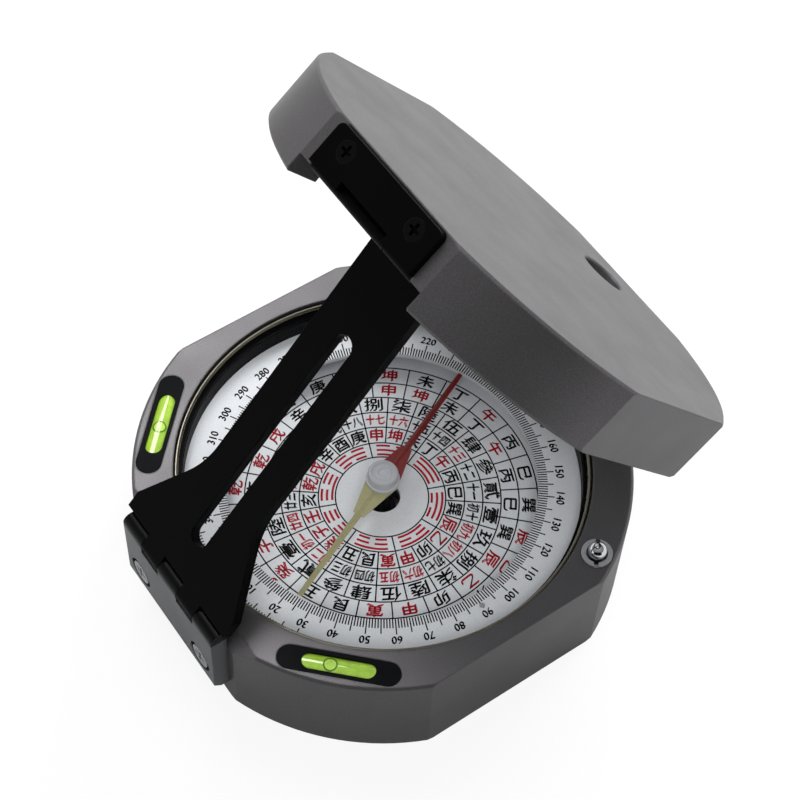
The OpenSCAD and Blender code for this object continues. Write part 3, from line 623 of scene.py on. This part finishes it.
class COMPASS_OT_dial_print(bpy.types.Operator):
    """Print the dial's circles, lines, trigrams, directions and numbers"""

    bl_idname = "compass.dial_print"
    bl_label = "Dial print"

    def execute(self, context):
        look = context.scene.compass_print
        circles = list(look.circles)
        ink_top = DIAL_TOP + look.ink_height
        black = [printed_circle(r, look.line_width, ink_top) for r in circles]
        red = self.trigrams(circles, ink_top)
        eighth = 360 / len(TRIGRAMS)
        cells = len(DIRECTIONS)
        pitch = 360 / cells
        # Cell walls: inner circle, outer circle, first angle, step and count
        walls = (
            (0, 1, eighth / 2, eighth, len(TRIGRAMS)),
            (1, 4, pitch / 2, pitch, cells),
            (4, 6, 0, pitch, cells),
        )
        for low, high, first, step, count in walls:
            black.append(printed_lines(circles[low], circles[high], look.line_width, ink_top,
                                       first, step, count))
        # Word rings: inner circle, words, character width, height, turn and boldness
        rings = (
            (1, DIRECTIONS, 2.55 * MM, 2.6 * MM, 0, 0.15 * MM),
            (2, SMALL_NUMBERS, 1.6 * MM, 2.15 * MM, 0, 0.15 * MM),
            (3, FORMAL_NUMBERS, 3.3 * MM, 2.6 * MM, 0, 0.14 * MM),
            (4, DIRECTIONS, 2.85 * MM, 2.4 * MM, -pitch / 2, 0.15 * MM),
            (5, DIRECTIONS, 2.9 * MM, 2.4 * MM, pitch / 2, 0.15 * MM),
        )
        for ring, words, width, tall, turn, bold in rings:
            radius = (circles[ring] + circles[ring + 1]) / 2
            for k, direction in enumerate(DIRECTIONS):
                word = printed_word(words[k % len(words)], width, tall, radius, k * pitch + turn,
                                    ink_top, bold)
                crimson = direction in RED_DIRECTIONS and words is not FORMAL_NUMBERS
                (red if crimson else black).extend(word)
        finish_print("dial_print_black", black, screen_ink("black_screen_ink", look.black))
        finish_print("dial_print_red", red, screen_ink("red_screen_ink", look.red))
        return {"FINISHED"}

    def trigrams(self, circles, ink_top):
        """Three curved bars for each of the eight trigrams."""
        bar_width = 0.37 * MM
        bar_step = 0.835 * MM
        inset = 0.53 * MM
        # Degrees that a bar spans, that the gap in a broken one spans, and that half a broken one spans
        span = 32.5
        gap = 6
        half = (span - gap) / 2
        bars = []
        for k, trigram in enumerate(TRIGRAMS):
            first = k * 360 / len(TRIGRAMS) - span / 2
            for n, kind in enumerate(trigram):
                radius = circles[1] - inset - n * bar_step
                stretches = [(first, span)] if kind == "S" else [(first, half), (first + half + gap, half)]
                for start, length in stretches:
                    bars.append(printed_arc(radius, bar_width, ink_top, start, length))
        return bars


class COMPASS_OT_ring_print(bpy.types.Operator):
    """Print the degree ticks and numbers on the graduated ring"""

    bl_idname = "compass.ring_print"
    bl_label = "Ring print"

    def execute(self, context):
        look = context.scene.compass_print
        ink_top = RING_TOP + look.ink_height
        # Tick rows: inner radius, outer radius, first angle, step and count. The last two rows are the
        # short outer scale.
        rows = (
            (24.4 * MM, 25.9 * MM, 0, 1, 360),
            (25.9 * MM, 26.8 * MM, 5, 10, 36),
            (25.9 * MM, 27.0 * MM, 0, 10, 36),
            (29.6 * MM, 31.1 * MM, -30, 1, 61),
            (28.9 * MM, 29.6 * MM, -30, 5, 13),
        )
        pieces = [printed_lines(inner, outer, look.tick_width, ink_top, first, step, count)
                  for inner, outer, first, step, count in rows]
        # Numbers: radius of their middles, boldness, and a digit's height and width as shares of the type's
        radius = 27.95 * MM
        bold = 0.11 * MM
        digit_share = 0.73
        narrowing = 0.95
        size = look.number_height / digit_share
        for degrees in range(0, 360, 10):
            pieces.extend(printed_word(str(degrees), size * narrowing, size, radius, degrees, ink_top, bold))
        finish_print("ring_print_black", pieces, screen_ink("black_ring_ink", look.black))
        self.index_stud(ink_top)
        return {"FINISHED"}

    def index_stud(self, ink_top):
        """Small raised grey stud at 90 degrees."""
        radius = 0.45 * MM
        height = 0.12 * MM
        rounding = 0.05 * MM
        reach = 26.5 * MM
        clear_selection()
        bpy.ops.mesh.primitive_cylinder_add(vertices=24, radius=radius, depth=height,
                                            location=dial_point(reach, 90, ink_top + height / 2))
        stud = join("ring_index_stud", [bpy.context.active_object])
        apply_modifier(stud, "BEVEL", width=rounding, segments=3)
        dress(stud, dull_nickel(), "case")


class COMPASS_OT_needle(bpy.types.Operator):
    """Shape the red and pale halves of the needle and its clear cap"""

    bl_idname = "compass.needle"
    bl_label = "Needle"

    def execute(self, context):
        look = context.scene.compass_needle
        red = needle_enamel("red_needle_enamel", look.red)
        pale = needle_enamel("pale_needle_enamel", look.pale)
        halves = [self.half("needle_red_half", look, look.angle),
                  self.half("needle_pale_half", look, look.angle + math.pi)]
        for half, material in zip(halves, (red, pale)):
            dress(half, material, "needle")
            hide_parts("needle_blade")
        self.cap()
        return {"FINISHED"}

    def half(self, name, look, angle):
        """A thin kite at the hub with a slim ridged lance on top of it."""
        # Kite: its length and its far end's width as shares of the needle's length and the hub's width
        kite_share = 0.3
        kite_narrowing = 0.36
        kite_thickness = 0.2 * MM
        lance_lift = 0.1 * MM
        kite_end = look.length * kite_share
        kite_stations = [(0, look.hub_half_width), (kite_end, look.hub_half_width * kite_narrowing)]
        lance_stations = [(0, look.lance_half_width), (kite_end, look.lance_half_width),
                          (look.length, look.tip_half_width)]
        kite = self.loft(4, kite_stations, NEEDLE_LOW, NEEDLE_LOW + kite_thickness)
        lance = self.loft(3, lance_stations, NEEDLE_LOW + lance_lift, NEEDLE_HIGH)
        for part in (kite, lance):
            part.rotation_euler.z = angle
        half = join(name, [kite, lance])
        close_mesh(half)
        return half

    def loft(self, corners, stations, low, high):
        """Bar along +Y drawn out from one cross-section: each station is a distance and a half width."""
        clear_selection()
        start, half_width = stations[0]
        bpy.ops.mesh.primitive_circle_add(vertices=corners, radius=1, fill_type="NGON",
                                          rotation=(math.pi / 2, 0, 0))
        bar = bpy.context.active_object
        if corners == 4:
            bar.rotation_euler.y = math.pi / 4
        bpy.ops.object.transform_apply(location=False, rotation=True, scale=False)
        wide = max(v.co.x for v in bar.data.vertices)
        bottom = min(v.co.z for v in bar.data.vertices)
        top = max(v.co.z for v in bar.data.vertices)
        lift = (high - low) / (top - bottom)
        bar.scale = (half_width / wide, 1, lift)
        bar.location = (0, start, low - bottom * lift)
        bpy.ops.object.transform_apply(location=True, rotation=True, scale=True)
        edit_all()
        for (here, width), (there, next_width) in zip(stations, stations[1:]):
            bpy.ops.mesh.extrude_region_move(TRANSFORM_OT_translate={"value": (0, there - here, 0)})
            bpy.ops.transform.resize(value=(next_width / width, 1, 1), center_override=(0, there, low))
        leave_edit()
        return bar

    def cap(self):
        """Clear turned cap with a flange, a rounded shoulder and a ringed top, spun from its profile."""
        flange = 2.65 * MM
        radius = 2.4 * MM
        groove = CAP_HIGH - 0.45 * MM
        boss = CAP_HIGH - 0.1 * MM
        rounding = 0.06 * MM
        profile = [
            # Flange, and the side above it
            (0, CAP_LOW), (flange, CAP_LOW), (flange, CAP_LOW + 0.6 * MM), (radius, CAP_LOW + 0.7 * MM),
            # Shoulder
            (radius, CAP_HIGH - 0.45 * MM), (radius - 0.12 * MM, CAP_HIGH - 0.15 * MM),
            (radius - 0.35 * MM, CAP_HIGH),
            # Rim, groove, raised ring and dimple
            (1.85 * MM, CAP_HIGH), (1.7 * MM, groove), (1.45 * MM, groove),
            (1.3 * MM, boss), (0.85 * MM, boss), (0.7 * MM, groove), (0, groove),
        ]
        cap = spun("needle_cap_clear", profile)
        apply_modifier(cap, "BEVEL", width=rounding, segments=2, limit_method="ANGLE")
        smooth(cap)
        dress(cap, cast_acrylic(), "needle")
        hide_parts("needle_cap")


class COMPASS_OT_vials(bpy.types.Operator):
    """Fill the two level vials with spirit and set their bubbles"""

    bl_idname = "compass.vials"
    bl_label = "Level vials"

    def execute(self, context):
        look = context.scene.compass_vials
        spirit = green_spirit(look.green)
        rim = spirit_meniscus()
        film = spirit_film()
        # Vial, its dial angle, and where its bubble lies along it
        for side, angle, shift in (("left", -45, -0.5 * MM), ("front", 45, 1.25 * MM)):
            tube = self.tube(side, angle)
            dress(tube, spirit, "case")
            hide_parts("vial_" + side)
            centre, bubble = self.bubble(side, angle, shift, tube, look.bubble_radius)
            dress(bubble, film, "case")
            # The patch's outer ring takes the dark green of painted shade, for the light the meniscus bends
            # aside.
            bubble.data.materials.append(rim)
            for face in bubble.data.polygons:
                face.material_index = int((face.center - centre).xy.length > SHADED_RIM_START * look.bubble_radius)
        return {"FINISHED"}

    def middle(self, angle):
        """Middle of a vial's axis, from its CAD solid."""
        low, high = (Vector(corner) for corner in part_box("vial_left" if angle < 0 else "vial_front"))
        middle = (low + high) / 2
        return Vector((middle.x, middle.y, high.z - VIAL_RADIUS))

    def tube(self, side, angle):
        clear_selection()
        bpy.ops.mesh.primitive_cylinder_add(vertices=48, radius=VIAL_RADIUS, depth=VIAL_LENGTH,
                                            location=self.middle(angle),
                                            rotation=(0, math.pi / 2, math.radians(angle)))
        tube = bpy.context.active_object
        tube.scale.y = VIAL_FLATNESS
        tube = join("vial_tube_" + side, [tube])
        apply_modifier(tube, "BEVEL", width=VIAL_ROUNDING, segments=5, limit_method="ANGLE")
        smooth(tube)
        return tube

    def bubble(self, side, angle, shift, tube, radius):
        """Round patch laid on the tube's top: the film inside a rim darkened with painted shade."""
        # Widths of the patch's rings from its edge in, as shares of its radius
        insets = (0.1, 0.12, 0.2, 0.2, 0.2)
        lift = 0.03 * MM
        thickness = 0.04 * MM
        turn = math.radians(angle)
        along = Vector((math.cos(turn), math.sin(turn), 0))
        centre = self.middle(angle) + shift * along + Vector((0, 0, VIAL_RADIUS))
        clear_selection()
        bpy.ops.mesh.primitive_circle_add(vertices=40, radius=radius, fill_type="NGON", location=centre)
        edit_all()
        for inset in insets:
            bpy.ops.mesh.inset(thickness=inset * radius)
        leave_edit()
        bubble = join("vial_bubble_" + side, [bpy.context.active_object])
        apply_modifier(bubble, "SHRINKWRAP", target=tube, wrap_method="PROJECT", use_project_z=True,
                       use_negative_direction=True, use_positive_direction=True, offset=lift)
        apply_modifier(bubble, "SOLIDIFY", thickness=thickness, offset=-1)
        close_mesh(bubble)
        return centre, bubble


class COMPASS_OT_return_spring(bpy.types.Operator):
    """Wind the needle lock's return spring; on the real compass it shortens as the lever comes down"""

    bl_idname = "compass.return_spring"
    bl_label = "Return spring"

    def execute(self, context):
        look = context.scene.compass_spring
        low, high = (Vector(corner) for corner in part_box("return_spring"))
        foot = Vector(((low.x + high.x) / 2, (low.y + high.y) / 2, low.z))
        outer = (high.x - low.x) / 2
        height = high.z - low.z
        half = look.wire / 2
        clear_selection()
        bpy.ops.mesh.primitive_circle_add(vertices=10, radius=half, location=(outer - half, 0, half),
                                          rotation=(math.pi / 2, 0, 0))
        bpy.ops.object.transform_apply(location=True, rotation=True, scale=True)
        wire = bpy.context.active_object
        apply_modifier(wire, "SCREW", iterations=look.turns, steps=24, render_steps=24,
                       screw_offset=(height - look.wire) / look.turns)
        edit_all()
        bpy.ops.mesh.fill_holes(sides=0)
        leave_edit()
        wire.location = foot
        spring = join("return_spring_coil", [wire])
        close_mesh(spring)
        smooth(spring)
        dress(spring, spring_steel(), "case")
        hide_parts("return_spring")
        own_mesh(spring)
        return {"FINISHED"}

    def lever_drop(self, foot, outer):
        """How far the lever comes down over the spring's far side when the pin is pressed."""
        joints = frame["record"]["behaviour"]["joints"]
        tilt = next(joint for joint in joints if joint["name"] == "lift_lever_tilt")
        reach = (foot - Vector(tilt["pos_m"])).xy.length + outer
        return reach * math.tan(math.radians(tilt["range_deg"][1]))


class COMPASS_OT_finishes(bpy.types.Operator):
    """Finish every CAD piece with the surface of the real one"""

    bl_idname = "compass.finishes"
    bl_label = "Finishes"

    def execute(self, context):
        look = context.scene.compass_finish
        finishes = {
            grey_anodised_aluminium(look.grey): ("body_case", "base_cover", "lid_shell"),
            black_anodised_aluminium(look.black): ("long_sight", "short_sight", "short_sight_plate",
                                                   "lid_hinge_base", "lid_hinge_leaf"),
            satin_gunmetal(): ("sight_hinge_plate",),
            moulded_black_abs(): ("vial_holder_left", "vial_holder_front", "spacer_ring", "lift_collar"),
            blackened_steel(): ("sight_hinge_pin", "lid_base_screws", "lid_hinge_pin", "lid_leaf_screws",
                                "short_plate_screws", "short_sight_pin", "cover_screws"),
            silver_lacquer(look.dial): ("dial_plate", "graduated_ring"),
            spring_steel(): ("lift_lever", "fulcrum_pin"),
            black_rubber(): ("glass_gasket",),
            float_glass(): ("dial_glass",),
            gilded_wire(): ("snap_ring",),
            turned_brass(): ("pivot_post",),
            dull_nickel(): ("lock_bush", "sight_plate_screws"),
            polished_chrome(): ("lock_pin",),
            silvered_mirror(): ("lid_mirror",),
            cast_acrylic(): ("needle_jewel",),
        }
        for material, names in finishes.items():
            for name in names:
                for slot in frame["nodes"][name].material_slots:
                    slot.material = material
        return {"FINISHED"}


class COMPASS_OT_stage(bpy.types.Operator):
    """Set up the pale floor, the white room, the softboxes, the black card and the camera"""

    bl_idname = "compass.stage"
    bl_label = "Stage"

    def execute(self, context):
        context.scene.view_settings.view_transform = "Standard"
        self.floor()
        self.world(context.scene)
        for softbox in SOFTBOXES:
            self.lamp(*softbox)
        self.flag()
        self.camera(context.scene)
        return {"FINISHED"}

    def floor(self):
        """White paper, which scatters little light back at the compass."""
        clear_selection()
        bpy.ops.mesh.primitive_plane_add(size=FLOOR_SIDE)
        floor = bpy.context.active_object
        floor.name = "floor"
        material, tree = new_material("white_paper_sweep")
        camera_ray = add_node(tree, "ShaderNodeLightPath").outputs["Is Camera Ray"]
        pale = add_node(tree, "ShaderNodeMapRange", {"Value": seen_directly(tree), "To Min": FLOOR_BOUNCE,
                                                     "To Max": FLOOR_MIRRORED})
        white = add_node(tree, "ShaderNodeMapRange", {"Value": camera_ray, "To Min": pale.outputs["Result"],
                                                      "To Max": FLOOR_SEEN})
        paper = add_node(tree, "ShaderNodeBsdfDiffuse", {"Color": white.outputs["Result"]})
        glow = add_node(tree, "ShaderNodeEmission", {"Color": (1, 1, 1, 1), "Strength": 1})
        share = add_node(tree, "ShaderNodeMath", {0: camera_ray, 1: FLOOR_GLOW}, operation="MULTIPLY")
        mix = add_node(tree, "ShaderNodeMixShader", {0: share.outputs[0], 1: paper.outputs["BSDF"],
                                                     2: glow.outputs["Emission"]})
        add_node(tree, "ShaderNodeOutputMaterial", {"Surface": mix.outputs["Shader"]})
        floor.data.materials.append(material)

    def world(self, scene):
        """Room with white walls, as the camera, metal and glass see it, and dim scattered light."""
        world = bpy.data.worlds.new("studio")
        world.use_nodes = True
        tree = world.node_tree
        tree.nodes.clear()
        way = add_node(tree, "ShaderNodeSeparateXYZ",
                       {"Vector": add_node(tree, "ShaderNodeTexCoord").outputs["Generated"]})
        wall = add_node(tree, "ShaderNodeMapRange", {"Value": way.outputs["Z"], "From Min": WALL_TOP,
                                                     "From Max": CEILING, "To Min": 1, "To Max": 0})
        shown = add_node(tree, "ShaderNodeMath", {0: wall.outputs["Result"], 1: seen_directly(tree)},
                         operation="MULTIPLY")
        room = add_node(tree, "ShaderNodeMapRange", {"Value": way.outputs["Z"], "To Min": AMBIENT[0],
                                                     "To Max": AMBIENT[1]})
        strength = add_node(tree, "ShaderNodeMapRange", {"Value": shown.outputs[0],
                                                         "To Min": room.outputs["Result"], "To Max": 1})
        back = add_node(tree, "ShaderNodeBackground", {"Color": (1, 1, 1, 1),
                                                       "Strength": strength.outputs["Result"]})
        add_node(tree, "ShaderNodeOutputWorld", {"Surface": back.outputs["Background"]})
        scene.world = world

    def lamp(self, name, place, side, power, mirrored):
        """Square softbox aimed at the compass. The dial's glass doesn't show it, and metal does only if it
        is to be mirrored."""
        clear_selection()
        aim = Vector(LAMP_AIM) - Vector(place)
        bpy.ops.object.light_add(type="AREA", location=place,
                                 rotation=aim.to_track_quat("-Z", "Y").to_euler())
        lamp = bpy.context.active_object
        lamp.name = name
        lamp.data.size = side
        lamp.data.energy = power
        lamp.visible_glossy = mirrored
        lamp.visible_transmission = False
        if mirrored:
            self.keep_off_glass(lamp)

    def keep_off_glass(self, lamp):
        """Keeps a lamp's mirror image out of the dial's glass, as a polarising filter does."""
        panes = bpy.data.collections.new("panes")
        panes.objects.link(frame["nodes"]["dial_glass"])
        panes.collection_objects[0].light_linking.link_state = "EXCLUDE"
        lamp.light_linking.receiver_collection = panes

    def flag(self):
        """Black card behind the camera, which darkens what metal mirrors from that side."""
        clear_selection()
        bpy.ops.mesh.primitive_plane_add(size=1, location=CARD_PLACE, rotation=(math.pi / 2, 0, CARD_TURN))
        card = bpy.context.active_object
        card.name = "black_card"
        card.scale = (*CARD_SIZE, 1)
        material, tree = new_material("black_velvet_card")
        velvet = add_node(tree, "ShaderNodeBsdfDiffuse", {"Color": opaque(linear("191919"))})
        add_node(tree, "ShaderNodeOutputMaterial", {"Surface": velvet.outputs["BSDF"]})
        card.data.materials.append(material)
        card.visible_camera = False
        card.visible_diffuse = False
        card.visible_shadow = False

    def camera(self, scene):
        """Camera at the picture's viewing angle, looking a little beside the dial's centre."""
        look = scene.compass_stage
        focal = look.lens * PICTURE_SIDE / SENSOR
        right, below = (pixels * look.distance / focal for pixels in DIAL_OFFSET)
        back = Vector((math.sin(look.azimuth) * math.cos(look.elevation),
                       -math.cos(look.azimuth) * math.cos(look.elevation), math.sin(look.elevation)))
        level = Vector((math.cos(look.azimuth), math.sin(look.azimuth), 0))
        rise = back.cross(level)
        across = math.cos(look.roll) * level + math.sin(look.roll) * rise
        up = -math.sin(look.roll) * level + math.cos(look.roll) * rise
        place = Vector((0, 0, RING_TOP)) + back * look.distance - across * right + up * below
        bpy.ops.object.camera_add()
        camera = bpy.context.active_object
        camera.data.lens = look.lens
        camera.data.sensor_width = SENSOR
        camera.data.clip_start = CLIP_START
        turn = Matrix((across, up, back)).transposed().to_4x4()
        camera.matrix_world = Matrix.Translation(place) @ turn
        scene.camera = camera


class COMPASS_PT_panel(bpy.types.Panel):
    """Lists the compass's operators and settings"""

    bl_idname = "COMPASS_PT_panel"
    bl_label = "Compass"
    bl_space_type = "VIEW_3D"
    bl_region_type = "UI"
    bl_category = "Compass"

    def draw(self, context):
        for group in SETTINGS:
            box = self.layout.box()
            settings = getattr(context.scene, group)
            for key in settings.__annotations__:
                box.prop(settings, key)
        for operator in OPERATORS:
            self.layout.operator(operator.bl_idname)


SETTINGS = {
    "compass_print": CompassPrint,
    "compass_needle": CompassNeedle,
    "compass_vials": CompassVials,
    "compass_spring": CompassSpring,
    "compass_finish": CompassFinish,
    "compass_stage": CompassStage,
}
OPERATORS = (COMPASS_OT_finishes, COMPASS_OT_dial_print, COMPASS_OT_ring_print, COMPASS_OT_needle,
             COMPASS_OT_vials, COMPASS_OT_return_spring, COMPASS_OT_stage)


def register():
    for cls in (*SETTINGS.values(), *OPERATORS, COMPASS_PT_panel):
        bpy.utils.register_class(cls)
    for name, group in SETTINGS.items():
        setattr(bpy.types.Scene, name, PointerProperty(type=group))


def unregister():
    for name in SETTINGS:
        delattr(bpy.types.Scene, name)
    for cls in reversed((*SETTINGS.values(), *OPERATORS, COMPASS_PT_panel)):
        bpy.utils.unregister_class(cls)


def main():
    register()
    bpy.ops.compass.finishes()
    bpy.ops.compass.dial_print()
    bpy.ops.compass.ring_print()
    bpy.ops.compass.needle()
    bpy.ops.compass.vials()
    bpy.ops.compass.return_spring()
    bpy.ops.compass.stage()


if __name__ == "__main__":
    main()
